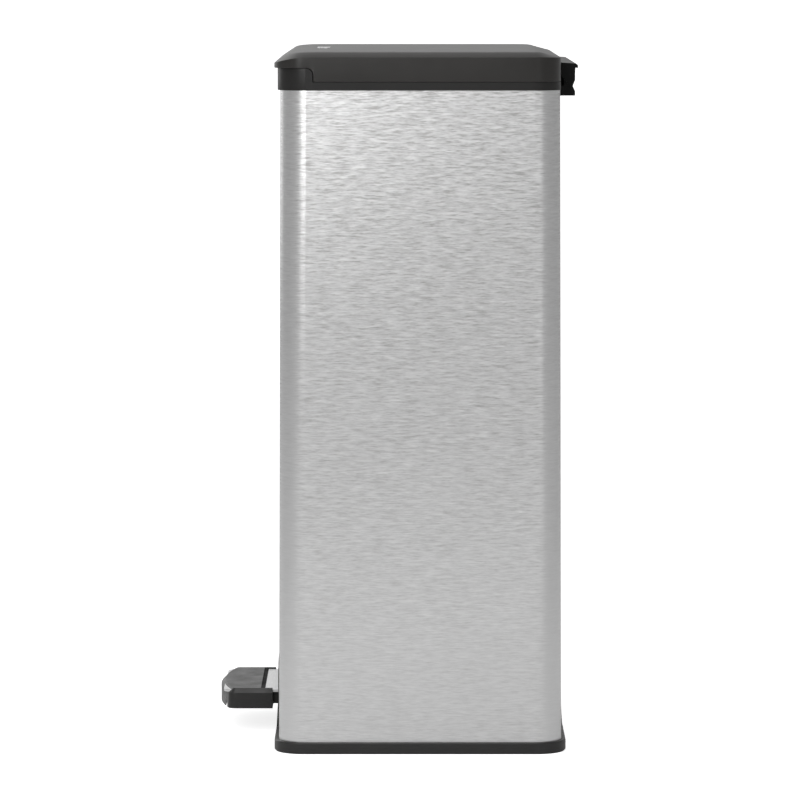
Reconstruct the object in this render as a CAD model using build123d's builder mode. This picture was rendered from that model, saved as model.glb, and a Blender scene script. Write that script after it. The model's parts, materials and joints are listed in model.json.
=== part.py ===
from build123d import *
import math
import os

os.makedirs("parts", exist_ok=True)

# A rectangular step can: millimetres, +Z up, front (the pedal side) towards -Y.
# The origin is on the floor under the middle of the body.

# ---------------------------------------------------------------- driving dimensions
# Moulded base
base_width = 400.0
base_depth = 270.0
base_corner = 27.0
base_height = 10.9
base_floor = 3.0
base_edge = 1.5
wing_top = 75.0
wing_thickness = 2.0
wing_flare_top = 40.0
wing_flare_reach = 3.6
front_wing_width = 210.0
rear_wing_width = 160.0
wing_corner = 20.0

# Steel shell, a tube with a slight draft
sheet = 1.0
shell_corner = 24.0
shell_top = 610.8
shell_bottom_width = 393.7
shell_bottom_depth = 261.7
shell_top_width = 388.4
shell_top_depth = 256.4
fit_gap = 0.3

# Bucket deck and bucket
deck_bottom = 64.5
deck_top = 68.0
bucket_center_y = -2.5
bucket_width = 352.0
bucket_depth = 203.0
bucket_top = 607.0
bucket_flange = 3.0
bucket_wall = 2.0
bucket_taper = 9.0
bucket_corner = 24.0

# Collar between the shell and the lid
collar_width = 391.0
collar_front = -130.7
collar_back = 128.8
collar_corner = 26.0
collar_top = 618.3
collar_slot_center = (27.0, 114.6)
collar_wall = 2.5
skirt_bottom = 596.0
skirt_wall = 2.0
front_rise_top = 630.8
front_rise_back = -98.3
front_rise_hollow_back = -108.0
front_rise_hollow_width = 360.0
front_rise_round = 6.0
opening_side = 178.0
opening_front = -103.5
opening_back = 101.0

# Lid
lid_width = 392.0
lid_front = -133.7
lid_back = 128.8
lid_corner = 26.0
lid_wall = 2.2
lid_bottom = 618.6
lid_top = 646.0
lip_bottom = 631.1
front_bevel = 13.0
front_bevel_drop = 10.0
rear_bevel = 19.0
rear_bevel_drop = 5.5
side_bevel = 11.0
side_bevel_drop = 5.0
liner_bottom = 620.3
liner_thickness = 2.0
liner_rim_top = 633.0
liner_front = -97.0
liner_corner = 23.0
lid_screw_x = 150.0
lid_screw_y = 80.0
bumper_x = 187.0
bumper_y = 84.0
bumper_radius = 3.5
badge_y = -91.0
badge_width = 52.0
badge_depth = 12.0
badge_thickness = 0.4

# Lid hinge and the crank that the lift rod pushes
hinge_y = 136.0
hinge_z = 622.0
hinge_lug_radius = 5.0
hinge_pin_radius = 2.5
running_gap = 0.03
hinge_pin_inner = 50.0
hinge_pin_outer = 110.0
fixed_lug_width = 8.0
lug_side_gap = 0.6
housing_half_width = 138.0
housing_front = 129.0
housing_back = 143.0
housing_wall = 1.7
housing_foot_bottom = 604.5
housing_foot_top = 608.5
housing_waist_y = 141.0
housing_waist_bottom = 613.0
housing_waist_top = 616.0
housing_rim_bottom = 619.0
housing_rim_top = 627.0
housing_lug_bottom = 614.0
housing_end = 3.0
cover_top = 635.2
cover_back = 145.6
cover_lip_bottom = 630.2
cover_wall = 2.2
cover_flange_bottom = 629.0
cover_end_gap = 0.4
hinge_screw_places = (-124.0, -20.0, 20.0, 124.0)
hinge_screw_z = 608.4
lid_opening = 80.0
crank_radius = 24.4
crank_start = -lid_opening / 2
crank_inner = 27.0
crank_outer = 30.0
crank_plate_inner = 8.0
crank_plate_front = 104.5
crank_plate_back = 123.5
crank_plate_thickness = 3.0
crank_screw_points = [(14.0, 108.0), (14.0, 120.0)]
crank_eye_radius = 6.0
small_screw_radius = 1.5

# Pedal and its lever
pivot_y = -75.0
pivot_z = 30.0
pivot_pin_radius = 4.0
pedal_half_width = 70.0
pedal_nose = -190.4
pedal_shoulder = -180.0
pedal_back = -139.5
pedal_bottom = 22.0
pedal_top = 41.0
pedal_bevel = 4.2
pedal_corner = 7.0
panel_front = -150.6
strip_width = 3.8
strip_height = 0.8
lever_sheet = 2.5
tongue_top = 39.5
tongue_half_width = 65.0
tongue_front = -186.0
tongue_back = -118.0
channel_half_width = 30.0
lever_rear = 124.0

# Lift rod
rod_x = 20.0
rod_radius = 2.5
rod_bend = 5.5
rod_hook_end = 35.0
hook_z = 17.0

# Soft-close damper
damper_x = -50.0
damper_y = 117.0
damper_rod_radius = 2.0
damper_bore = 6.0
damper_radius = 8.0
damper_base = 71.0
damper_top = 135.0
damper_tab_top = 22.5
damper_tab_bottom = 20.0

# ---------------------------------------------------------------- derived places
crank_pin_y = hinge_y - crank_radius * math.cos(math.radians(crank_start))
crank_pin_z = hinge_z + crank_radius * math.sin(math.radians(crank_start))
collar_center = (0, (collar_front + collar_back) / 2)
collar_depth = collar_back - collar_front
lid_center = (0, (lid_front + lid_back) / 2)
lid_depth = lid_back - lid_front
opening_center = (0, (opening_front + opening_back) / 2)
bucket_bottom_width = bucket_width - 4.0 - 2 * bucket_taper
bucket_bottom_depth = bucket_depth - 4.0 - 2 * bucket_taper
inner_base_width = shell_bottom_width - 2 * sheet - 1.0
inner_base_depth = shell_bottom_depth - 2 * sheet - 1.0
inner_base_corner = shell_corner - sheet - fit_gap
upstand_wall = 2.5
deck_screw_points = [(170, 105), (170, -105), (-170, 105), (-170, -105)]
pad_points = [(150, 95), (150, -95), (-150, 95), (-150, -95)]
lid_screw_points = [(lid_screw_x, lid_screw_y), (lid_screw_x, -lid_screw_y),
                    (-lid_screw_x, lid_screw_y), (-lid_screw_x, -lid_screw_y)]
hinge_sides = (-1, 1)
hinge_screw_points = [(x, hinge_screw_z) for x in hinge_screw_places]


# ---------------------------------------------------------------- helpers
def save(piece, name):
    """Label a finished piece and write it to its own STEP file."""
    piece.part.label = name
    export_step(piece.part, f"parts/{name}.step")


def screws(plane, points, head_radius, head_height, shank_radius, shank_length):
    """Cross-head screws: heads raised from the plane, shanks going the other way."""
    head_sign = math.copysign(1, head_height)
    with BuildPart() as group:
        with BuildSketch(plane):
            with Locations(*points):
                Circle(head_radius)
        extrude(amount=head_height)
        with BuildSketch(plane):
            with Locations(*points):
                Circle(shank_radius)
        extrude(amount=-head_sign * shank_length)
        with BuildSketch(plane.offset(head_height)):
            with Locations(*points):
                Rectangle(head_radius * 1.2, 0.7)
                Rectangle(0.7, head_radius * 1.2)
        extrude(amount=-head_sign * 0.9, mode=Mode.SUBTRACT)
    return group


def lid_form(inset):
    """The lid's outer form, brought in all round and down by the inset."""
    half_width = lid_width / 2 - inset
    front = lid_front + inset
    back = lid_back - inset
    top = lid_top - inset
    with BuildPart() as form:
        with BuildSketch(Plane.XY.offset(lid_bottom)):
            with Locations(lid_center):
                RectangleRounded(2 * half_width, back - front, lid_corner - inset)
        extrude(amount=top - lid_bottom)
        with BuildSketch(Plane.YZ):
            with BuildLine():
                Polyline(
                    (front, lid_bottom),
                    (front, top - front_bevel_drop),
                    (front + front_bevel, top),
                    (back - rear_bevel, top),
                    (back, top - rear_bevel_drop),
                    (back, lid_bottom),
                    close=True,
                )
            make_face()
        extrude(amount=half_width, both=True, mode=Mode.INTERSECT)
        with BuildSketch(Plane.XZ):
            with BuildLine():
                Polyline(
                    (-half_width, lid_bottom),
                    (-half_width, top - side_bevel_drop),
                    (-half_width + side_bevel, top),
                    (half_width - side_bevel, top),
                    (half_width, top - side_bevel_drop),
                    (half_width, lid_bottom),
                    close=True,
                )
            make_face()
        extrude(amount=lid_depth, both=True, mode=Mode.INTERSECT)
    return form.part


# ---------------------------------------------------------------- steel shell
with BuildPart() as outer_shell:
    for inset, how in ((0.0, Mode.ADD), (sheet, Mode.SUBTRACT)):
        with BuildSketch(Plane.XY.offset(base_height)):
            RectangleRounded(shell_bottom_width - 2 * inset,
                             shell_bottom_depth - 2 * inset, shell_corner - inset)
        with BuildSketch(Plane.XY.offset(shell_top)):
            RectangleRounded(shell_top_width - 2 * inset,
                             shell_top_depth - 2 * inset, shell_corner - inset)
        loft(ruled=True, mode=how)
    # The pedal passes through a notch in the front's lower edge.
    with BuildSketch(Plane.XZ.offset(100)):
        with Locations((0, 30)):
            Rectangle(152, 40)
    extrude(amount=60, mode=Mode.SUBTRACT)
    # Clearance slots for the hinge screws, in the rear's top edge.
    with BuildSketch(Plane.XZ.offset(-100)):
        with Locations(*[(x, shell_top - 3) for x in hinge_screw_places]):
            Rectangle(5, 8)
    extrude(amount=-60, mode=Mode.SUBTRACT)
save(outer_shell, "outer_shell")

# ---------------------------------------------------------------- base
with BuildPart() as base:
    with BuildSketch():
        RectangleRounded(base_width, base_depth, base_corner)
    extrude(amount=base_height)
    chamfer(base.faces().sort_by(Axis.Z)[0].edges(), base_edge)
    fillet(base.faces().sort_by(Axis.Z)[-1].edges(), base_edge)
    # The upstand inside the shell carries the deck.
    with BuildSketch(Plane.XY.offset(base_floor)):
        RectangleRounded(inner_base_width, inner_base_depth, inner_base_corner)
    extrude(amount=deck_bottom - base_floor)
    with BuildSketch(Plane.XY.offset(base_floor)):
        RectangleRounded(inner_base_width - 2 * upstand_wall,
                         inner_base_depth - 2 * upstand_wall,
                         inner_base_corner - upstand_wall)
    extrude(amount=deck_bottom - base_floor, mode=Mode.SUBTRACT)
    # Wings outside the shell: the pedal surround in front and a stiffener behind.
    for width, side in ((front_wing_width, 1), (rear_wing_width, -1)):
        with BuildSketch(Plane.XZ.offset(side * (shell_bottom_depth / 2 + fit_gap))) as wing:
            with Locations((0, (wing_top + 5) / 2)):
                Rectangle(width, wing_top - 5)
            fillet(wing.vertices().group_by(Axis.Y)[-1], wing_corner)
        extrude(amount=side * wing_thickness)
        # The foot of the wing spreads into the base.
        wing_back = -side * (shell_bottom_depth / 2 + fit_gap)
        with BuildSketch(Plane.YZ):
            with BuildLine():
                Polyline(
                    (wing_back, base_height - 2),
                    (wing_back, wing_flare_top),
                    (wing_back - side * wing_thickness, wing_flare_top),
                    (wing_back - side * wing_flare_reach, base_height),
                    (wing_back - side * wing_flare_reach, base_height - 2),
                    close=True,
                )
            make_face()
        extrude(amount=width / 2, both=True)
    # Way through the front for the pedal lever.
    with BuildSketch(Plane.XZ.offset(120)):
        with Locations((0, 29)):
            RectangleRounded(146, 34, 4)
    extrude(amount=30, mode=Mode.SUBTRACT)
    # Blocks that hold the pedal's pivot pin.
    with Locations((38, pivot_y, (base_floor + 42) / 2), (-38, pivot_y, (base_floor + 42) / 2)):
        Box(8, 24, 42 - base_floor)
    with BuildSketch(Plane.YZ):
        with Locations((pivot_y, pivot_z)):
            Circle(pivot_pin_radius)
    extrude(amount=60, both=True, mode=Mode.SUBTRACT)
    # Posts for the deck's screws.
    with BuildSketch(Plane.XY.offset(base_floor)):
        with Locations(*deck_screw_points):
            Circle(7)
    extrude(amount=deck_bottom - base_floor)
    with BuildSketch(Plane.XY.offset(deck_bottom)):
        with Locations(*deck_screw_points):
            Circle(2)
    extrude(amount=-20, mode=Mode.SUBTRACT)
    # Pockets for the anti-slip pads.
    with BuildSketch():
        with Locations(*pad_points):
            Circle(15)
    extrude(amount=1.5, mode=Mode.SUBTRACT)
save(base, "base")

with BuildPart() as anti_slip_pads:
    with BuildSketch():
        with Locations(*pad_points):
            Circle(15)
    extrude(amount=1.5)
save(anti_slip_pads, "anti_slip_pads")

# ---------------------------------------------------------------- bucket deck
guide_center = (rod_x, 114.5)
damper_screw_points = [(damper_x - 12.5, damper_y), (damper_x + 12.5, damper_y)]

with BuildPart() as bucket_deck:
    with BuildSketch(Plane.XY.offset(deck_bottom)):
        RectangleRounded(inner_base_width - 0.6, inner_base_depth - 0.6, inner_base_corner - 0.3)
        with Locations(guide_center):
            Rectangle(12, 19, mode=Mode.SUBTRACT)
        with Locations((damper_x, damper_y)):
            Circle(5.5, mode=Mode.SUBTRACT)
        with Locations(*damper_screw_points):
            Circle(1.5, mode=Mode.SUBTRACT)
        with Locations(*deck_screw_points):
            Circle(2, mode=Mode.SUBTRACT)
    extrude(amount=deck_top - deck_bottom)
save(bucket_deck, "bucket_deck")

deck_screws = screws(Plane.XY.offset(deck_top), deck_screw_points, 4.0, 2.0, 2.0, 20.0)
save(deck_screws, "deck_screws")

# ---------------------------------------------------------------- inner bucket
with BuildPart() as inner_bucket:
    for inset, floor in ((0.0, deck_top), (bucket_wall, deck_top + bucket_wall)):
        how = Mode.ADD if inset == 0 else Mode.SUBTRACT
        with BuildSketch(Plane.XY.offset(floor)):
            with Locations((0, bucket_center_y)):
                RectangleRounded(bucket_bottom_width - 2 * inset,
                                 bucket_bottom_depth - 2 * inset, bucket_corner - inset)
        with BuildSketch(Plane.XY.offset(bucket_top)):
            with Locations((0, bucket_center_y)):
                RectangleRounded(bucket_width - 4.0 - 2 * inset,
                                 bucket_depth - 4.0 - 2 * inset, bucket_corner - inset)
        loft(ruled=True, mode=how)
    with BuildSketch(Plane.XY.offset(bucket_top - bucket_flange)):
        with Locations((0, bucket_center_y)):
            RectangleRounded(bucket_width, bucket_depth, bucket_corner + 2)
            RectangleRounded(bucket_width - 8, bucket_depth - 8, bucket_corner - 2,
                             mode=Mode.SUBTRACT)
    extrude(amount=bucket_flange)
save(inner_bucket, "inner_bucket")

# ---------------------------------------------------------------- collar
with BuildPart() as top_collar:
    with BuildSketch(Plane.XY.offset(shell_top)):
        with Locations(collar_center):
            RectangleRounded(collar_width, collar_depth, collar_corner)
    extrude(amount=front_rise_top - shell_top)
    # Seen from the side: low all along, with a rounded step up at the front.
    with BuildSketch(Plane.YZ) as side_view:
        with BuildLine():
            Polyline(
                (collar_front, shell_top),
                (collar_front, front_rise_top),
                (front_rise_back, front_rise_top),
                (front_rise_back, collar_top),
                (collar_back, collar_top),
                (collar_back, shell_top),
                close=True,
            )
        make_face()
        step = side_view.vertices().sort_by_distance((front_rise_back, front_rise_top))[0]
        fillet(step, front_rise_round)
    extrude(amount=collar_width / 2, both=True, mode=Mode.INTERSECT)
    # Hollow from below.
    with BuildSketch(Plane.XY.offset(shell_top)):
        with Locations(collar_center):
            RectangleRounded(collar_width - 2 * collar_wall, collar_depth - 2 * collar_wall,
                             collar_corner - collar_wall)
    extrude(amount=collar_top - collar_wall - shell_top, mode=Mode.SUBTRACT)
    rise_front = collar_front + collar_wall
    with BuildSketch(Plane.XY.offset(shell_top)):
        with Locations((0, (rise_front + front_rise_hollow_back) / 2)):
            RectangleRounded(front_rise_hollow_width, front_rise_hollow_back - rise_front, 9)
    extrude(amount=front_rise_top - collar_wall - shell_top, mode=Mode.SUBTRACT)
    # Mouth for the bucket.
    with BuildSketch(Plane.XY.offset(shell_top)):
        with Locations(opening_center):
            RectangleRounded(2 * opening_side, opening_back - opening_front, bucket_corner)
    extrude(amount=front_rise_top - shell_top, mode=Mode.SUBTRACT)
    # Slot in the rear shelf for the crank and the head of the lift rod.
    with BuildSketch(Plane.XY.offset(shell_top)):
        with Locations(collar_slot_center):
            RectangleRounded(26, 20, 3)
    extrude(amount=collar_top - shell_top, mode=Mode.SUBTRACT)
    # Skirt that plugs into the shell.
    with BuildSketch(Plane.XY.offset(skirt_bottom)):
        for inset, how in ((0.0, Mode.ADD), (skirt_wall, Mode.SUBTRACT)):
            RectangleRounded(shell_top_width - 2 * sheet - 0.6 - 2 * inset,
                             shell_top_depth - 2 * sheet - 0.6 - 2 * inset,
                             shell_corner - sheet - fit_gap - inset, mode=how)
    extrude(amount=collar_top - collar_wall - skirt_bottom)
    with BuildSketch(Plane.XZ.offset(-100)):
        with Locations(*hinge_screw_points):
            Circle(2)
    extrude(amount=-60, mode=Mode.SUBTRACT)
save(top_collar, "top_collar")

# ---------------------------------------------------------------- hinge housing
fixed_lug_starts = []
for side in hinge_sides:
    for edge in (hinge_pin_inner, hinge_pin_outer - fixed_lug_width):
        fixed_lug_starts.append(edge if side > 0 else -edge - fixed_lug_width)

with BuildPart() as hinge_housing:
    with BuildSketch(Plane.YZ):
        with BuildLine():
            Polyline(
                (housing_front, housing_foot_bottom),
                (housing_back, housing_foot_bottom),
                (housing_back, housing_foot_top),
                (housing_waist_y, housing_waist_bottom),
                (housing_waist_y, housing_waist_top),
                (housing_back, housing_rim_bottom),
                (housing_back, housing_rim_top),
                (housing_back - housing_wall, housing_rim_top),
                (housing_back - housing_wall, housing_rim_bottom + 1),
                (housing_waist_y - housing_wall, housing_waist_top + 0.8),
                (housing_waist_y - housing_wall, housing_lug_bottom),
                (housing_front, housing_lug_bottom),
                close=True,
            )
        make_face()
    extrude(amount=housing_half_width, both=True)
    for start in fixed_lug_starts:
        with BuildSketch(Plane.YZ.offset(start)):
            with Locations((hinge_y, hinge_z)):
                Circle(hinge_lug_radius)
            with Locations((hinge_y, (housing_lug_bottom + hinge_z) / 2)):
                Rectangle(2 * hinge_lug_radius, hinge_z - housing_lug_bottom)
        extrude(amount=fixed_lug_width)
    # End walls.
    for start in (-housing_half_width, housing_half_width - housing_end):
        with BuildSketch(Plane.YZ.offset(start)):
            with BuildLine():
                Polyline(
                    (hinge_y - 3.5, housing_lug_bottom),
                    (housing_waist_y, housing_lug_bottom),
                    (housing_back, housing_rim_bottom),
                    (housing_back, housing_rim_top),
                    (hinge_y + 2, housing_rim_top),
                    (hinge_y - 3.5, hinge_z + 2),
                    close=True,
                )
            make_face()
        extrude(amount=housing_end)
    with BuildSketch(Plane.YZ.offset(-hinge_pin_outer)):
        with Locations((hinge_y, hinge_z)):
            Circle(hinge_pin_radius)
    extrude(amount=2 * hinge_pin_outer, mode=Mode.SUBTRACT)
    # Counterbored holes for the hinge screws.
    for radius, start in ((2.0, 120.0), (3.2, 139.5)):
        with BuildSketch(Plane.XZ.offset(-start)):
            with Locations(*hinge_screw_points):
                Circle(radius)
        extrude(amount=-30, mode=Mode.SUBTRACT)
save(hinge_housing, "hinge_housing")

hinge_screws = screws(Plane.XZ.offset(-139.5), hinge_screw_points, 3.2, -2.0, 2.0, 14.6)
save(hinge_screws, "hinge_screws")

with BuildPart() as hinge_pins:
    for start in (-hinge_pin_outer, hinge_pin_inner):
        with BuildSketch(Plane.YZ.offset(start)):
            with Locations((hinge_y, hinge_z)):
                Circle(hinge_pin_radius)
        extrude(amount=hinge_pin_outer - hinge_pin_inner)
save(hinge_pins, "hinge_pins")

cover_end_start = housing_half_width + cover_end_gap
cover_half_width = cover_end_start + cover_wall
with BuildPart() as hinge_cover:
    # A plate over the hinge with a flange on the lid's rear wall and a lip turned down.
    with BuildSketch(Plane.YZ):
        with BuildLine():
            Line((lid_back, cover_flange_bottom), (lid_back, cover_top))
            Line((lid_back, cover_top), (cover_back - 2.6, cover_top - 1))
            ThreePointArc((cover_back - 2.6, cover_top - 1), (cover_back - 0.8, cover_top - 1.8),
                          (cover_back, cover_top - 3.6))
            Line((cover_back, cover_top - 3.6), (cover_back, cover_lip_bottom))
            Line((cover_back, cover_lip_bottom), (cover_back - cover_wall, cover_lip_bottom))
            Line((cover_back - cover_wall, cover_lip_bottom),
                 (cover_back - cover_wall, cover_top - 1 - cover_wall))
            Line((cover_back - cover_wall, cover_top - 1 - cover_wall),
                 (lid_back + cover_wall, cover_top - cover_wall))
            Line((lid_back + cover_wall, cover_top - cover_wall),
                 (lid_back + cover_wall, cover_flange_bottom))
            Line((lid_back + cover_wall, cover_flange_bottom), (lid_back, cover_flange_bottom))
        make_face()
    extrude(amount=cover_half_width, both=True)
    # End plates that turn with the lid, outside the housing's ends.
    for start in (-cover_half_width, cover_end_start):
        with BuildSketch(Plane.YZ.offset(start)):
            with BuildLine():
                Polyline(
                    (lid_back + 0.6, cover_top - 1),
                    (cover_back - cover_wall, cover_top - 2),
                    (housing_back - 0.6, hinge_z - 2.4),
                    (housing_waist_y - 0.6, hinge_z - 5),
                    (hinge_y, hinge_z - 6.6),
                    (hinge_y - 5.4, hinge_z),
                    close=True,
                )
            make_face()
        extrude(amount=cover_wall)
save(hinge_cover, "hinge_cover")

# ---------------------------------------------------------------- lid
arm_inner = hinge_pin_inner + fixed_lug_width + lug_side_gap
arm_outer = hinge_pin_outer - fixed_lug_width - lug_side_gap
arm_starts = (arm_inner, -arm_outer)
arm_width = arm_outer - arm_inner
arm_top = 626.3
liner_top = liner_bottom + liner_thickness
liner_back = lid_back - lid_wall - 0.4
liner_half_width = lid_width / 2 - lid_wall - 0.4
lid_outside = lid_form(0.0)
lid_inside = lid_form(lid_wall)

with BuildPart() as lid_outer:
    add(lid_outside)
    add(lid_inside, mode=Mode.SUBTRACT)
    # The front edge stops above the collar's raised front.
    with BuildSketch(Plane.YZ) as front_cut:
        with BuildLine():
            Polyline(
                (lid_front - 1, lid_bottom - 1),
                (front_rise_back + 0.8, lid_bottom - 1),
                (front_rise_back + 0.8, lip_bottom),
                (lid_front - 1, lip_bottom),
                close=True,
            )
        make_face()
        corner = front_cut.vertices().sort_by_distance((front_rise_back, lip_bottom))[0]
        fillet(corner, front_rise_round)
    extrude(amount=lid_width, both=True, mode=Mode.SUBTRACT)
    # Notches in the rear wall for the hinge arms.
    for start in arm_starts:
        with Locations((start + arm_width / 2, lid_back, lid_bottom + 5)):
            Box(arm_width + 3, 12, 10.4, mode=Mode.SUBTRACT)
    # Posts for the liner's screws.
    with BuildSketch(Plane.XY.offset(liner_top)):
        with Locations(*lid_screw_points):
            Circle(4)
    extrude(amount=lid_top - lid_wall - liner_top + 0.5)
    with BuildSketch(Plane.XY.offset(liner_top)):
        with Locations(*lid_screw_points):
            Circle(1.5)
    extrude(amount=12, mode=Mode.SUBTRACT)
save(lid_outer, "lid_outer")

crank_slot_center = ((crank_inner + crank_outer) / 2, 114.6)
with BuildPart() as lid_liner:
    liner_center = (0, (liner_front + liner_back) / 2)
    liner_depth = liner_back - liner_front
    with BuildSketch(Plane.XY.offset(liner_bottom)):
        with Locations(liner_center):
            RectangleRounded(2 * liner_half_width, liner_depth, liner_corner)
    extrude(amount=liner_rim_top - liner_bottom)
    with BuildSketch(Plane.XY.offset(liner_top)):
        with Locations(liner_center):
            RectangleRounded(2 * liner_half_width - 4, liner_depth - 4, liner_corner - 2)
    extrude(amount=liner_rim_top - liner_top, mode=Mode.SUBTRACT)
    # Arms with the moving knuckles of the hinge.
    for start in arm_starts:
        with BuildSketch(Plane.YZ.offset(start)):
            with Locations((hinge_y, hinge_z)):
                Circle(hinge_lug_radius)
            with Locations(((118 + hinge_y) / 2, (liner_bottom + arm_top) / 2)):
                Rectangle(hinge_y - 118, arm_top - liner_bottom)
        extrude(amount=arm_width)
        with BuildSketch(Plane.YZ.offset(start)):
            with Locations((hinge_y, hinge_z)):
                Circle(hinge_pin_radius + running_gap)
        extrude(amount=arm_width, mode=Mode.SUBTRACT)
    with BuildSketch(Plane.XY.offset(liner_bottom)):
        with Locations(crank_slot_center):
            Rectangle(crank_outer - crank_inner + 1, 20.4)
        with Locations(*lid_screw_points):
            Circle(small_screw_radius)
        with Locations(*crank_screw_points):
            Circle(small_screw_radius)
    extrude(amount=liner_thickness, mode=Mode.SUBTRACT)
save(lid_liner, "lid_liner")

lid_screws = screws(Plane.XY.offset(liner_bottom), lid_screw_points, 3.2, -1.4,
                    small_screw_radius, 12.0)
save(lid_screws, "lid_screws")

with BuildPart() as lid_crank:
    with BuildSketch(Plane.XY.offset(liner_top)):
        with Locations(((crank_plate_inner + crank_outer) / 2,
                        (crank_plate_front + crank_plate_back) / 2)):
            Rectangle(crank_outer - crank_plate_inner, crank_plate_back - crank_plate_front)
    extrude(amount=crank_plate_thickness)
    with BuildSketch(Plane.YZ.offset(crank_inner)):
        with BuildLine():
            Polyline(
                (106.0, liner_top + crank_plate_thickness),
                (crank_plate_back, liner_top + crank_plate_thickness),
                (crank_pin_y + crank_eye_radius, crank_pin_z),
                (crank_pin_y - crank_eye_radius, crank_pin_z),
                close=True,
            )
        make_face()
        with Locations((crank_pin_y, crank_pin_z)):
            Circle(crank_eye_radius)
            Circle(rod_radius + running_gap, mode=Mode.SUBTRACT)
    extrude(amount=crank_outer - crank_inner)
    with BuildSketch(Plane.XY.offset(liner_top)):
        with Locations(*crank_screw_points):
            Circle(small_screw_radius)
    extrude(amount=crank_plate_thickness, mode=Mode.SUBTRACT)
save(lid_crank, "lid_crank")

crank_screws = screws(Plane.XY.offset(liner_top + crank_plate_thickness), crank_screw_points,
                      3.0, 1.8, small_screw_radius, 5.0)
save(crank_screws, "crank_screws")

with BuildPart() as lid_bumpers:
    with BuildSketch(Plane.XY.offset(lid_bottom)):
        with Locations((bumper_x, -bumper_y), (bumper_x, bumper_y),
                       (-bumper_x, -bumper_y), (-bumper_x, bumper_y)):
            Circle(bumper_radius)
    extrude(amount=liner_bottom - lid_bottom)
save(lid_bumpers, "lid_bumpers")

with BuildPart() as badge:
    with BuildSketch(Plane.XY.offset(lid_top)):
        with Locations((0, badge_y)):
            RectangleRounded(badge_width, badge_depth, 2)
    extrude(amount=badge_thickness)
save(badge, "badge")

# ---------------------------------------------------------------- pedal
pedal_screw_points = [(40, -168), (-40, -168)]
with BuildPart() as pedal_pad:
    with BuildSketch(Plane.XY.offset(pedal_bottom)) as plan:
        with BuildLine():
            ThreePointArc((-pedal_half_width, pedal_shoulder), (0, pedal_nose),
                          (pedal_half_width, pedal_shoulder))
            Polyline((pedal_half_width, pedal_shoulder), (pedal_half_width, pedal_back),
                     (-pedal_half_width, pedal_back), (-pedal_half_width, pedal_shoulder))
        make_face()
        fillet(plan.vertices().group_by(Axis.Y)[0], pedal_corner)
    extrude(amount=pedal_top - pedal_bottom)
    top_edges = pedal_pad.faces().sort_by(Axis.Z)[-1].edges()
    chamfer(top_edges.filter_by(lambda edge: edge.center().Y < pedal_back - 5), pedal_bevel)
    # Neck that fills the way under the lever's tongue.
    with Locations((0, (pedal_back - 128) / 2 - 2, 31)):
        Box(116, -128 - pedal_back + 4, 12)
    # Open panel at the back where the lever's tongue shows, and the tongue's pocket.
    with Locations((0, (pedal_back + panel_front) / 2, 40)):
        Box(2 * tongue_half_width, pedal_back - panel_front, 6, mode=Mode.SUBTRACT)
    with Locations((0, (tongue_front - 128) / 2, tongue_top - lever_sheet / 2)):
        Box(2 * tongue_half_width, -128 - tongue_front, lever_sheet, mode=Mode.SUBTRACT)
    with BuildSketch(Plane.XY.offset(pedal_bottom)):
        with Locations(*pedal_screw_points):
            Circle(2)
    extrude(amount=tongue_top - lever_sheet - pedal_bottom, mode=Mode.SUBTRACT)
    # Hollow underside round the screw posts.
    with BuildSketch(Plane.XY.offset(pedal_bottom)):
        with Locations((0, -167)):
            RectangleRounded(124, 34, 6)
        with Locations(*pedal_screw_points):
            Circle(6, mode=Mode.SUBTRACT)
    extrude(amount=9, mode=Mode.SUBTRACT)
save(pedal_pad, "pedal_pad")

with BuildPart() as pedal_strip:
    with BuildSketch(Plane.XY.offset(tongue_top)):
        with Locations((0, panel_front + strip_width / 2)):
            Rectangle(2 * tongue_half_width, strip_width)
    extrude(amount=strip_height)
save(pedal_strip, "pedal_strip")

pedal_screws = screws(Plane.XY.offset(pedal_bottom), pedal_screw_points, 4.0, -1.6, 2.0, 17.5)
save(pedal_screws, "pedal_screws")

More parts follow.
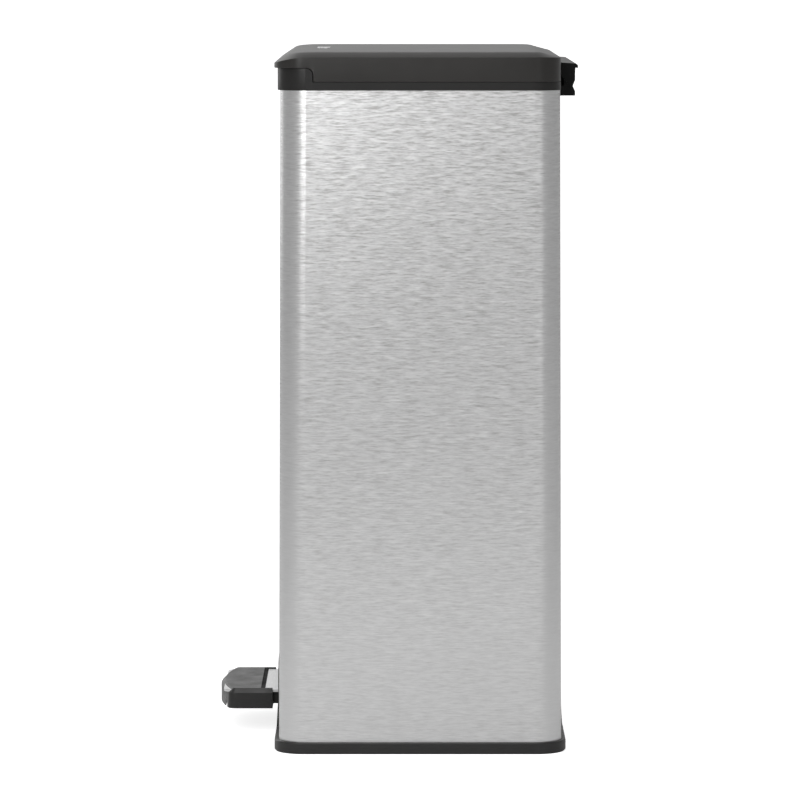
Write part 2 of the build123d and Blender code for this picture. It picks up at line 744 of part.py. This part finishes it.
hook_slot_back = crank_pin_y + 3.6
hook_slot_front = crank_pin_y - 9.4
with BuildPart() as pedal_lever:
    with BuildSketch(Plane.XY.offset(tongue_top - lever_sheet)):
        with Locations((0, (tongue_front + tongue_back) / 2)):
            RectangleRounded(2 * tongue_half_width, tongue_back - tongue_front, 10)
        with Locations(*pedal_screw_points):
            Circle(2, mode=Mode.SUBTRACT)
    extrude(amount=lever_sheet)
    # Channel: a top strip that steps down to the rear, and two side flanges.
    with BuildSketch(Plane.YZ):
        with BuildLine():
            Polyline(
                (-122, tongue_top),
                (-58, tongue_top),
                (-20, 32),
                (100, 25.4),
                (100, 25.4 - lever_sheet),
                (-20, 32 - lever_sheet),
                (-58, tongue_top - lever_sheet),
                (-122, tongue_top - lever_sheet),
                close=True,
            )
        make_face()
    extrude(amount=channel_half_width, both=True)
    for start in (-channel_half_width, channel_half_width - lever_sheet):
        with BuildSketch(Plane.YZ.offset(start)):
            with BuildLine():
                Polyline(
                    (-122, tongue_top),
                    (-58, tongue_top),
                    (-20, 32),
                    (lever_rear, 24),
                    (lever_rear, 9.5),
                    (-30, 16),
                    (-75, 20),
                    (-100, 24),
                    (-122, 30),
                    close=True,
                )
            make_face()
            with Locations((pivot_y, pivot_z)):
                Circle(pivot_pin_radius + 2, mode=Mode.SUBTRACT)
        extrude(amount=lever_sheet)
    # Slot for the lower hook of the lift rod.
    with BuildSketch(Plane.YZ.offset(channel_half_width - lever_sheet)):
        with Locations(((hook_slot_front + hook_slot_back) / 2, hook_z)):
            SlotOverall(hook_slot_back - hook_slot_front, 7.4)
    extrude(amount=lever_sheet, mode=Mode.SUBTRACT)
    # Tab for the damper's piston rod.
    with BuildSketch(Plane.XY.offset(damper_tab_bottom)):
        with Locations(((damper_x - 10 - channel_half_width) / 2 - 1, (109 + lever_rear) / 2)):
            Rectangle(channel_half_width - 2 - (damper_x + 28), lever_rear - 109)
        with Locations((damper_x, damper_y + 0.6)):
            SlotOverall(6.8, 5.0, rotation=90, mode=Mode.SUBTRACT)
    extrude(amount=damper_tab_top - damper_tab_bottom)
save(pedal_lever, "pedal_lever")

with BuildPart() as pivot_pin:
    with BuildSketch(Plane.YZ):
        with Locations((pivot_y, pivot_z)):
            Circle(pivot_pin_radius)
    extrude(amount=46, both=True)
save(pivot_pin, "pivot_pin")

with BuildPart() as pivot_clips:
    for start in (42.4, -43.9):
        with BuildSketch(Plane.YZ.offset(start)):
            with Locations((pivot_y, pivot_z)):
                Circle(7)
                Circle(pivot_pin_radius, mode=Mode.SUBTRACT)
                with Locations((0, -6)):
                    Rectangle(4.4, 8, mode=Mode.SUBTRACT)
        extrude(amount=1.5)
save(pivot_clips, "pivot_clips")

with BuildPart() as pivot_bushes:
    for side in hinge_sides:
        plane = Plane.YZ.offset(side * (channel_half_width - lever_sheet))
        for radius, length in ((pivot_pin_radius + 2, lever_sheet + 1.5), (6.9, -1.5)):
            with BuildSketch(plane):
                with Locations((pivot_y, pivot_z)):
                    Circle(radius)
            extrude(amount=side * length)
        with BuildSketch(plane):
            with Locations((pivot_y, pivot_z)):
                Circle(pivot_pin_radius + running_gap)
        extrude(amount=8, both=True, mode=Mode.SUBTRACT)
save(pivot_bushes, "pivot_bushes")

# ---------------------------------------------------------------- lift rod
with BuildPart() as lift_rod:
    with BuildLine():
        FilletPolyline(
            (rod_hook_end, crank_pin_y, hook_z),
            (rod_x, crank_pin_y, hook_z),
            (rod_x, crank_pin_y, crank_pin_z),
            (rod_hook_end, crank_pin_y, crank_pin_z),
            radius=rod_bend,
        )
    with BuildSketch(Plane.YZ.offset(rod_hook_end)):
        with Locations((crank_pin_y, hook_z)):
            Circle(rod_radius)
    sweep()
save(lift_rod, "lift_rod")

with BuildPart() as rod_clips:
    for height in (hook_z, crank_pin_z):
        with BuildSketch(Plane.YZ.offset(31.5)):
            with Locations((crank_pin_y, height)):
                Circle(5)
                Circle(rod_radius, mode=Mode.SUBTRACT)
                with Locations((0, -4)):
                    Rectangle(3, 5, mode=Mode.SUBTRACT)
        extrude(amount=1.5)
save(rod_clips, "rod_clips")

with BuildPart() as rod_guide:
    with BuildSketch(Plane.XY.offset(deck_bottom)):
        with Locations(guide_center):
            Rectangle(12, 19)
    extrude(amount=deck_top - deck_bottom)
    with BuildSketch(Plane.XY.offset(deck_top)):
        with Locations(guide_center):
            RectangleRounded(18, 23, 3)
    extrude(amount=2)
    with BuildSketch(Plane.XY.offset(deck_bottom)):
        with Locations(guide_center):
            SlotOverall(12.4, 6.4, rotation=90)
    extrude(amount=10, mode=Mode.SUBTRACT)
save(rod_guide, "rod_guide")

# ---------------------------------------------------------------- soft-close damper
with BuildPart() as damper_cylinder:
    with BuildSketch(Plane.XY.offset(deck_top)):
        with Locations((damper_x, damper_y)):
            RectangleRounded(33, 17, 4)
        with Locations(*damper_screw_points):
            Circle(1.5, mode=Mode.SUBTRACT)
    extrude(amount=damper_base - deck_top)
    with BuildSketch(Plane.XY.offset(damper_base)):
        with Locations((damper_x, damper_y)):
            Circle(damper_radius)
    extrude(amount=damper_top - damper_base)
    with BuildSketch(Plane.XY.offset(damper_base + 4)):
        with Locations((damper_x, damper_y)):
            Circle(damper_bore)
    extrude(amount=damper_top - 4 - damper_base - 4, mode=Mode.SUBTRACT)
    with BuildSketch(Plane.XY.offset(deck_top)):
        with Locations((damper_x, damper_y)):
            Circle(damper_rod_radius + running_gap)
    extrude(amount=10, mode=Mode.SUBTRACT)
save(damper_cylinder, "damper_cylinder")

damper_screws = screws(Plane.XY.offset(damper_base), damper_screw_points, 2.6, 1.5, 1.5, 8.0)
save(damper_screws, "damper_screws")

with BuildPart() as damper_piston:
    for radius, bottom, top in (
        (damper_rod_radius, 13.0, 92.0),
        (damper_bore - 0.05, 92.0, 98.0),
        (4.5, damper_tab_top + 1.4, damper_tab_top + 3.4),
        (4.5, damper_tab_bottom - 3.4, damper_tab_bottom - 1.4),
    ):
        with BuildSketch(Plane.XY.offset(bottom)):
            with Locations((damper_x, damper_y)):
                Circle(radius)
        extrude(amount=top - bottom)
save(damper_piston, "damper_piston")
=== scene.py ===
import json
import math

import bmesh
import bpy
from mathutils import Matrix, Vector


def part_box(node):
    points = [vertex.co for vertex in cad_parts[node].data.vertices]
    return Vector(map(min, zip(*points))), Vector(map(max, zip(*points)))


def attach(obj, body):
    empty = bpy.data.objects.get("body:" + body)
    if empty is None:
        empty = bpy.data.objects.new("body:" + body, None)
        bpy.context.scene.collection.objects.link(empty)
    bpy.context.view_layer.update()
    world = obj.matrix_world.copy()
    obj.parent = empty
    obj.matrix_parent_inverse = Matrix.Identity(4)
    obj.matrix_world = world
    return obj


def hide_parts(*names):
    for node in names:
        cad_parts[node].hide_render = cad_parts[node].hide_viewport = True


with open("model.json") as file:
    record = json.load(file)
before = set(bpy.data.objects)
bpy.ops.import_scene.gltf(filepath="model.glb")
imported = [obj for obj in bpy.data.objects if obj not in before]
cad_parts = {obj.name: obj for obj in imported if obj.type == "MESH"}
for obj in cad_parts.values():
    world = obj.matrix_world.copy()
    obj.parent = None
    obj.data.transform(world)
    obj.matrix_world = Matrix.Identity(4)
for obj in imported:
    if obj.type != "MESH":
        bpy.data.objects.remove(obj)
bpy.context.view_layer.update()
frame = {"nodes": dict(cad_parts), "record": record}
nodes = frame["nodes"]

# Metres. The can stands on the floor, its pedal towards -Y, and is seen from its +X side.
MM = 0.001
floor_level = 0.0
floor_size = 400
floor_grey = 0.85
floor_glow = 0.80
view_distance = 4.5
view_height = 0.735
view_side = -0.0186
view_pitch = 5.404
view_lens = 212.35


# ---------------------------------------------------------------- material helpers
def new_material(name):
    """An empty node material with a Principled shader wired to its output."""
    material = bpy.data.materials.new(name)
    material.use_nodes = True
    tree = material.node_tree
    tree.nodes.clear()
    output = tree.nodes.new("ShaderNodeOutputMaterial")
    shader = tree.nodes.new("ShaderNodeBsdfPrincipled")
    tree.links.new(shader.outputs["BSDF"], output.inputs["Surface"])
    return material, tree, shader


def place_coordinates(tree, scale=(1, 1, 1)):
    """Object coordinates, stretched by the scale."""
    coordinates = tree.nodes.new("ShaderNodeTexCoord")
    mapping = tree.nodes.new("ShaderNodeMapping")
    mapping.inputs["Scale"].default_value = scale
    tree.links.new(coordinates.outputs["Object"], mapping.inputs["Vector"])
    return mapping.outputs["Vector"]


def noise(tree, vector, scale, detail=2.0, roughness=0.5):
    """A noise texture read at the given vector."""
    texture = tree.nodes.new("ShaderNodeTexNoise")
    texture.inputs["Scale"].default_value = scale
    texture.inputs["Detail"].default_value = detail
    texture.inputs["Roughness"].default_value = roughness
    tree.links.new(vector, texture.inputs["Vector"])
    return texture.outputs["Fac"]


def ramp(tree, value, stops):
    """A colour ramp through (position, grey or colour) stops."""
    node = tree.nodes.new("ShaderNodeValToRGB")
    elements = node.color_ramp.elements
    while len(elements) < len(stops):
        elements.new(0.5)
    for element, (position, colour) in zip(elements, stops):
        element.position = position
        if isinstance(colour, float):
            colour = (colour, colour, colour)
        element.color = (*colour, 1.0)
    tree.links.new(value, node.inputs["Fac"])
    return node.outputs["Color"]


def map_range(tree, value, low, high, to_low, to_high):
    """The value moved from one range to another, kept inside it."""
    node = tree.nodes.new("ShaderNodeMapRange")
    for name, number in zip(("From Min", "From Max", "To Min", "To Max"),
                            (low, high, to_low, to_high)):
        node.inputs[name].default_value = number
    tree.links.new(value, node.inputs["Value"])
    return node.outputs["Result"]


def bump(tree, shader, height, distance, strength=1.0):
    """Surface relief from a height."""
    node = tree.nodes.new("ShaderNodeBump")
    node.inputs["Distance"].default_value = distance
    node.inputs["Strength"].default_value = strength
    tree.links.new(height, node.inputs["Height"])
    tree.links.new(node.outputs["Normal"], shader.inputs["Normal"])


def calculate(tree, operation, first, second):
    """One Math node on two values, each a socket or a number."""
    node = tree.nodes.new("ShaderNodeMath")
    node.operation = operation
    for socket, value in zip(node.inputs, (first, second)):
        if isinstance(value, (int, float)):
            socket.default_value = value
        else:
            tree.links.new(value, socket)
    return node.outputs[0]


# ---------------------------------------------------------------- materials
tone_swing = 0.12
cloud_scale = 14.0
polish_scale = 55.0
grain_scale = 2600.0

# The steel's streaks: how many there are to the metre along X, Y and Z, and each size's share.
streak_sizes = (((62, 62, 520), 0.4), ((110, 110, 900), 0.4), ((170, 170, 2600), 0.2))
streak_low = 0.34
streak_high = 0.66
steel_dark = (0.46, 0.455, 0.45)
steel_middle = (0.735, 0.735, 0.735)
steel_light = (0.96, 0.96, 0.96)


def moulded_plastic(name, colour, roughness=0.42, grain=0.00004, wear=0.25, gloss=0.5):
    """Moulded plastic with a fine satin grain, cloudy tone and a little polish from handling."""
    material, tree, shader = new_material(name)
    shader.inputs["Specular IOR Level"].default_value = gloss
    base = place_coordinates(tree)
    cloud = noise(tree, base, cloud_scale, 4.0)
    dark = tuple(channel * (1 - tone_swing) for channel in colour)
    light = tuple(channel * (1 + tone_swing) for channel in colour)
    tree.links.new(ramp(tree, cloud, ((0.3, dark), (0.7, light))), shader.inputs["Base Color"])
    polish = noise(tree, base, polish_scale, 5.0, 0.6)
    low = roughness * (1 - wear)
    high = roughness * (1 + wear * 0.6)
    tree.links.new(map_range(tree, polish, 0.3, 0.7, low, high), shader.inputs["Roughness"])
    fine = noise(tree, base, grain_scale, 2.0)
    bump(tree, shader, fine, grain, 0.5)
    return material


def brushed_steel(name):
    """Sheet brushed level: short streaks, strongest high up and fainter round the corners."""
    material, tree, shader = new_material(name)
    shader.inputs["Metallic"].default_value = 1.0
    mixed = 0.0
    for scale, share in streak_sizes:
        layer = noise(tree, place_coordinates(tree, scale), 1.0, 2.0, 0.6)
        mixed = calculate(tree, "ADD", mixed, calculate(tree, "MULTIPLY", layer, share))
    # How strong the streaks are: by height, and by how flat the wall is there.
    place = tree.nodes.new("ShaderNodeSeparateXYZ")
    tree.links.new(place_coordinates(tree), place.inputs[0])
    by_height = map_range(tree, place.outputs["Z"], 0.08, 0.60, 0.34, 1.45)
    geometry = tree.nodes.new("ShaderNodeNewGeometry")
    facing = tree.nodes.new("ShaderNodeSeparateXYZ")
    tree.links.new(geometry.outputs["Normal"], facing.inputs[0])
    flat = calculate(tree, "MAXIMUM", calculate(tree, "ABSOLUTE", facing.outputs["X"], 0.0),
                     calculate(tree, "ABSOLUTE", facing.outputs["Y"], 0.0))
    by_flatness = map_range(tree, flat, 0.90, 0.995, 0.25, 1.0)
    strength = calculate(tree, "MULTIPLY", by_height, by_flatness)
    streaks = calculate(tree, "ADD", 0.5, calculate(
        tree, "MULTIPLY", calculate(tree, "SUBTRACT", mixed, 0.5), strength))
    tone = ramp(tree, streaks, ((streak_low, steel_dark), (0.5, steel_middle),
                                (streak_high, steel_light)))
    tree.links.new(tone, shader.inputs["Base Color"])
    tree.links.new(map_range(tree, streaks, streak_low, streak_high, 0.37, 0.30),
                   shader.inputs["Roughness"])
    shader.inputs["Anisotropic"].default_value = 0.35
    bump(tree, shader, streaks, 0.00004, 0.4)
    return material


def plain_metal(name, colour, roughness=0.32, streak=(900, 900, 90)):
    """Small steel parts: fine drawn or ground lines and a little tone."""
    material, tree, shader = new_material(name)
    shader.inputs["Metallic"].default_value = 1.0
    lines = noise(tree, place_coordinates(tree, streak), 1.0, 3.0)
    dark = tuple(channel * 0.85 for channel in colour)
    tree.links.new(ramp(tree, lines, ((0.3, dark), (0.7, colour))), shader.inputs["Base Color"])
    tree.links.new(map_range(tree, lines, 0.3, 0.7, roughness * 0.85, roughness * 1.2),
                   shader.inputs["Roughness"])
    bump(tree, shader, lines, 0.00002, 0.3)
    return material


materials = {
    "brushed_steel_shell": brushed_steel("brushed_steel_shell"),
    "black_moulding": moulded_plastic("black_moulding", (0.017, 0.0165, 0.016), gloss=0.48),
    "dark_moulding": moulded_plastic("dark_moulding", (0.015, 0.0145, 0.014), 0.42, gloss=0.3),
    "lid_moulding": moulded_plastic("lid_moulding", (0.025, 0.0235, 0.022), 0.34,
                                    wear=0.08, gloss=0.35),
    # hinge_moulding is partly the hinge parts' own black plastic and partly painted shade: it is
    # made darker than the other black mouldings so the hinge cavity looks shadowed.
    "hinge_moulding": moulded_plastic("hinge_moulding", (0.004, 0.004, 0.004), 0.36, gloss=0.15),
    "pedal_moulding": moulded_plastic("pedal_moulding", (0.020, 0.0195, 0.019), 0.38, gloss=0.4),
    "rubber_black": moulded_plastic("rubber_black", (0.006, 0.006, 0.006), 0.8, 0.0001, gloss=0.12),
    "bucket_grey": moulded_plastic("bucket_grey", (0.07, 0.07, 0.073), 0.5),
    "zinc_screw": plain_metal("zinc_screw", (0.62, 0.62, 0.58)),
    "zinc_plate": plain_metal("zinc_plate", (0.60, 0.61, 0.60), 0.4),
    "steel_pin": plain_metal("steel_pin", (0.68, 0.68, 0.68), 0.22),
    "steel_rod": plain_metal("steel_rod", (0.60, 0.60, 0.61), 0.28),
    "spring_steel": plain_metal("spring_steel", (0.24, 0.24, 0.26), 0.3),
    "pedal_steel": plain_metal("pedal_steel", (0.86, 0.86, 0.86), 0.40, (60, 1500, 1500)),
    "nylon_white": moulded_plastic("nylon_white", (0.62, 0.60, 0.55), 0.5),
    "damper_grey": moulded_plastic("damper_grey", (0.20, 0.21, 0.22), 0.4),
    "badge_aluminium": plain_metal("badge_aluminium", (0.74, 0.74, 0.74), 0.3, (60, 1500, 1500)),
}
slot_of = {part["node"]: part["material_slot"] for part in frame["record"]["subparts"]}


def soften(obj, width, segments=3):
    """Round an object's sharp edges a little, as moulded and pressed parts are."""
    weld = obj.modifiers.new("join_edges", "WELD")
    weld.merge_threshold = 0.000001
    rounding = obj.modifiers.new("edge_rounding", "BEVEL")
    rounding.width = width
    rounding.segments = segments
    rounding.limit_method = "ANGLE"
    rounding.angle_limit = math.radians(35)
    rounding.harden_normals = False


for name, obj in nodes.items():
    for slot in obj.material_slots:
        slot.material = materials[slot_of[name]]

# ---------------------------------------------------------------- lid shell
lid_low, lid_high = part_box("lid_outer")
lid_corner = 26 * MM
lid_wall = 2.2 * MM
side_drop = 5.0 * MM
front_drop_more = 5.2 * MM
front_drop_start = -98 * MM
rear_drop_more = 0.5 * MM
rear_drop_start = 102 * MM
bevel_side = 11 * MM
bevel_front = 13 * MM
bevel_rear = 19 * MM
crown = 0.75 * MM
crown_start = 98 * MM
crown_run = 17 * MM
lip_bottom = 631.1 * MM
lip_end = -97.5 * MM
lip_round = 6 * MM
notch_inner = 57.1 * MM
notch_outer = 102.9 * MM
notch_top = 628.8 * MM
sliver = 0.05 * MM
edge_trim = 0.3 * MM
top_margin = 3.5 * MM
edge_radii = (0.05 * MM, 0.35 * MM, 3.2 * MM)
corner_steps = 12
side_places = 24
end_places = 25
inner_rows = (0.97, 0.93, 0.87, 0.8, 0.6, 0.3)


def spread(low, high, count):
    """Evenly spaced numbers from low to high, both included."""
    return [low + (high - low) * step / (count - 1) for step in range(count)]


def lid_outline():
    """Places round the lid's edge with their outward directions, anticlockwise from the right."""
    half = lid_high.x
    front = lid_low.y + lid_corner
    back = lid_high.y - lid_corner
    inner = half - lid_corner
    lip_places = spread(lip_end - lip_round, lip_end, 7) + [lip_end + sliver]
    side = sorted(set(spread(front, lip_end - lip_round, 3) + lip_places
                      + spread(lip_end + 4 * MM, back, side_places)))
    notch = [notch_inner - sliver, notch_inner, notch_outer, notch_outer + sliver]
    rear = sorted(set(spread(-inner, inner, end_places) + notch + [-place for place in notch]))
    turns = [math.radians(90 * step / corner_steps) for step in range(1, corner_steps)]
    outline = [(half, y, 1.0, 0.0) for y in side]
    outline += [(inner + lid_corner * math.cos(a), back + lid_corner * math.sin(a),
                 math.cos(a), math.sin(a)) for a in turns]
    outline += [(x, lid_high.y, 0.0, 1.0) for x in reversed(rear)]
    outline += [(-inner - lid_corner * math.sin(a), back + lid_corner * math.cos(a),
                 -math.sin(a), math.cos(a)) for a in turns]
    outline += [(-half, y, -1.0, 0.0) for y in reversed(side)]
    outline += [(-inner - lid_corner * math.cos(a), front - lid_corner * math.sin(a),
                 -math.cos(a), -math.sin(a)) for a in turns]
    outline += [(x, lid_low.y, 0.0, -1.0) for x in spread(-inner, inner, end_places)]
    outline += [(inner + lid_corner * math.sin(a), front - lid_corner * math.cos(a),
                 math.sin(a), -math.cos(a)) for a in turns]
    return outline


def lid_edge_bottom(x, y, out_y):
    """Height of the lid's lower edge: raised at the front, notched for the hinge arms."""
    if y < lip_end - lip_round:
        return lip_bottom
    if y <= lip_end:
        along = y - (lip_end - lip_round)
        return lip_bottom - lip_round + math.sqrt(max(lip_round ** 2 - along ** 2, 0))
    if out_y > 0.99 and notch_inner <= abs(x) <= notch_outer:
        return notch_top
    return lid_low.z


def rounded(points, radii, steps=4):
    """A polyline with its inner corners rounded by short curves."""
    result = [points[0]]
    for before, corner, after, radius in zip(points, points[1:], points[2:], radii):
        start = corner + (before - corner).normalized() * radius
        end = corner + (after - corner).normalized() * radius
        for step in range(steps + 1):
            t = step / steps
            result.append(start * (1 - t) ** 2 + corner * 2 * t * (1 - t) + end * t ** 2)
    result.append(points[-1])
    return result


def crown_fall(y):
    """How far the lid's top has fallen at this place: it falls only near its front and rear."""
    return crown * (max(abs(y) - crown_start, 0) / crown_run) ** 2


def lid_profile(x, y, out_x, out_y, inset):
    """Places up the lid at one spot of its outline, brought in by the inset."""
    forward = min(max((front_drop_start - y) / (front_drop_start - lid_low.y), 0), 1)
    rearward = min(max((y - rear_drop_start) / (lid_high.y - rear_drop_start), 0), 1)
    drop = side_drop + front_drop_more * forward ** 2 + rear_drop_more * rearward ** 2
    bevel_end = bevel_front if out_y < 0 else bevel_rear
    bevel = bevel_side * out_x ** 2 + bevel_end * out_y ** 2
    bottom = lid_edge_bottom(x, y, out_y)
    top = lid_high.z - inset
    points = [Vector((inset + edge_trim, bottom)), Vector((inset, bottom + edge_trim)),
              Vector((inset, top - drop)), Vector((inset + bevel, top)),
              Vector((inset + bevel + top_margin, top))]
    places = []
    for across, height in rounded(points, edge_radii):
        place = Vector((x - out_x * across, y - out_y * across, height))
        lift = min(max((height - (top - drop)) / drop, 0), 1)
        place.z -= lift * crown_fall(place.y)
        places.append(place)
    return places


def lid_skin(shell, inset):
    """One skin of the lid: rows of vertices from the lower edge to the middle of the top."""
    outline = lid_outline()
    columns = [lid_profile(*spot, inset) for spot in outline]
    rows = [list(row) for row in zip(*columns)]
    middle = Vector((0, (lid_low.y + lid_high.y) / 2, lid_high.z - inset))
    for share in inner_rows:
        row = []
        for place in rows[len(columns[0]) - 1]:
            inner = middle.lerp(place, share)
            inner.z = middle.z - crown_fall(inner.y)
            row.append(inner)
        rows.append(row)
    verts = [[shell.verts.new(place) for place in row] for row in rows]
    centre = shell.verts.new(middle)
    return verts, centre


def build_lid():
    """The lid as a closed moulded shell with soft edges, in place of the plain CAD one."""
    shell = bmesh.new()
    outside, outside_centre = lid_skin(shell, 0.0)
    inside, inside_centre = lid_skin(shell, lid_wall)
    count = len(outside[0])
    for skin, centre in ((outside, outside_centre), (inside, inside_centre)):
        for low, high in zip(skin, skin[1:]):
            for i in range(count):
                j = (i + 1) % count
                shell.faces.new((low[i], low[j], high[j], high[i]))
        for i in range(count):
            shell.faces.new((skin[-1][i], skin[-1][(i + 1) % count], centre))
    for i in range(count):
        j = (i + 1) % count
        shell.faces.new((inside[0][i], inside[0][j], outside[0][j], outside[0][i]))
    bmesh.ops.recalc_face_normals(shell, faces=shell.faces)
    mesh = bpy.data.meshes.new("lid_shell")
    shell.to_mesh(mesh)
    shell.free()
    mesh.polygons.foreach_set("use_smooth", [True] * len(mesh.polygons))
    mesh.set_sharp_from_angle(angle=math.radians(32))
    obj = bpy.data.objects.new("lid_shell", mesh)
    bpy.context.scene.collection.objects.link(obj)
    obj.data.materials.append(materials["lid_moulding"])
    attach(obj, "lid")
    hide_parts("lid_outer")


build_lid()

edge_roundings_mm = {
    "top_collar": 0.7, "pedal_pad": 0.9, "hinge_cover": 0.35,
    "hinge_housing": 0.5, "pedal_lever": 0.3, "badge": 0.12,
}
for name, width in edge_roundings_mm.items():
    soften(nodes[name], width * MM)

# ---------------------------------------------------------------- stage, light and camera
bpy.ops.mesh.primitive_plane_add(size=floor_size, location=(0, 0, floor_level))
ground = bpy.context.object
ground.name = "floor"
ground_material, ground_tree, ground_shader = new_material("pale_floor")
ground_shader.inputs["Base Color"].default_value = (*(floor_grey,) * 3, 1)
ground_shader.inputs["Roughness"].default_value = 0.9
ground_shader.inputs["Emission Color"].default_value = (1, 1, 1, 1)
ground_rays = ground_tree.nodes.new("ShaderNodeLightPath")
seen_glow = map_range(ground_tree, ground_rays.outputs["Is Camera Ray"], 0, 1, 0.0, floor_glow)
ground_tree.links.new(seen_glow, ground_shader.inputs["Emission Strength"])
ground.data.materials.append(ground_material)


def area_light(name, place, target, size, power):
    """A soft rectangular light aimed at a point."""
    lamp = bpy.data.lights.new(name, "AREA")
    lamp.shape = "RECTANGLE"
    lamp.size, lamp.size_y = size
    lamp.energy = power
    holder = bpy.data.objects.new(name, lamp)
    holder.location = place
    holder.rotation_euler = (Vector(target) - Vector(place)).to_track_quat("-Z", "Y").to_euler()
    bpy.context.scene.collection.objects.link(holder)


area_light("key", (1.75, -0.46, 1.15), (0, -0.05, 0.55), (0.34, 1.3), 8.4)
area_light("fill", (3.6, 1.6, 0.7), (0, 0, 0.3), (1.2, 1.6), 3)
area_light("overhead", (0.9, -0.2, 2.9), (0, 0, 0.6), (1.6, 1.6), 22)
area_light("rim", (-1.7, -1.7, 1.1), (0, -0.1, 0.5), (0.9, 1.6), 4)

world = bpy.data.worlds.new("studio")
bpy.context.scene.world = world
world.use_nodes = True
sky = world.node_tree
background = sky.nodes["Background"]
background.inputs["Color"].default_value = (1, 1, 1, 1)
direction = sky.nodes.new("ShaderNodeTexCoord").outputs["Generated"]
# The room's soft grey light is even, and grows towards these directions.
# Each glow is its direction, the cosine at its edge and how much it adds at its middle.
room_level = 0.36
glows = (((-1, 0, 0.02), 0.45, 0.17), ((-0.75, -0.62, 0.2), 0.7, 0.2),
         ((-0.75, -0.35, 0.6), 0.85, 0.9), ((1, -0.1, 0.1), 0.55, 0.05))
glow = room_level
for towards, edge, amount in glows:
    product = sky.nodes.new("ShaderNodeVectorMath")
    product.operation = "DOT_PRODUCT"
    product.inputs[1].default_value = Vector(towards).normalized()
    sky.links.new(direction, product.inputs[0])
    added = map_range(sky, product.outputs["Value"], edge, 1, 0, amount)
    glow = calculate(sky, "ADD", added, glow)
rays = sky.nodes.new("ShaderNodeLightPath")
sky.links.new(calculate(sky, "MAXIMUM", glow, rays.outputs["Is Camera Ray"]),
              background.inputs["Strength"])

camera_data = bpy.data.cameras.new("camera")
camera_data.lens = view_lens
camera_data.sensor_width = 36
camera = bpy.data.objects.new("camera", camera_data)
camera.location = (view_distance, view_side, view_height)
camera.rotation_euler = (math.radians(90 - view_pitch), 0, math.radians(90))
bpy.context.scene.collection.objects.link(camera)
bpy.context.scene.camera = camera
bpy.context.scene.view_settings.view_transform = "Standard"
